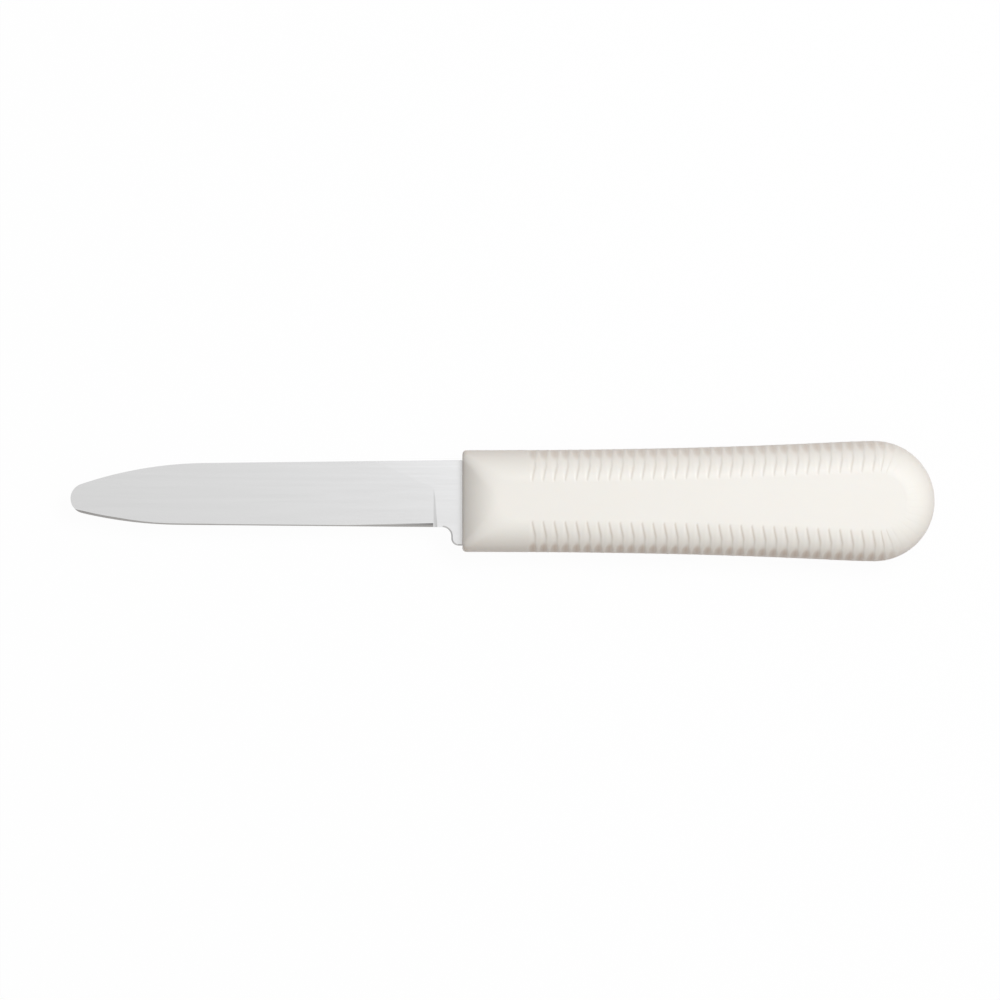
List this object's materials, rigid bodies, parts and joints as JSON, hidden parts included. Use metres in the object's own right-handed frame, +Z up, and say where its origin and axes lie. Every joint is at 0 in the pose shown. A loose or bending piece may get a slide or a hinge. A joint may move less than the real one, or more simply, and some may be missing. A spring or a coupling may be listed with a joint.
{
  "type": "clam knife",
  "caption": "Clam knife: a short straight blade with a round tip, its tang moulded into a flat-sided plastic handle that flares to a round butt, with grip ribs along its edges.",
  "frame": {"origin": "on the surface that the knife lies on, under the middle of its length and on its long axis", "axes": "+X along the knife from the tip to the butt, +Y from the cutting edge to the spine, +Z up, square to the flat sides of the handle"},
  "size_m": [0.1888, 0.0264, 0.016],
  "materials": {
    "stainless_steel": "satin, ground along the blade",
    "white_polypropylene": "semi-matt moulded, warm white"
  },
  "bodies": {
    "root": {"blade": "stainless_steel", "handle": "white_polypropylene"}
  },
  "joints": []
}
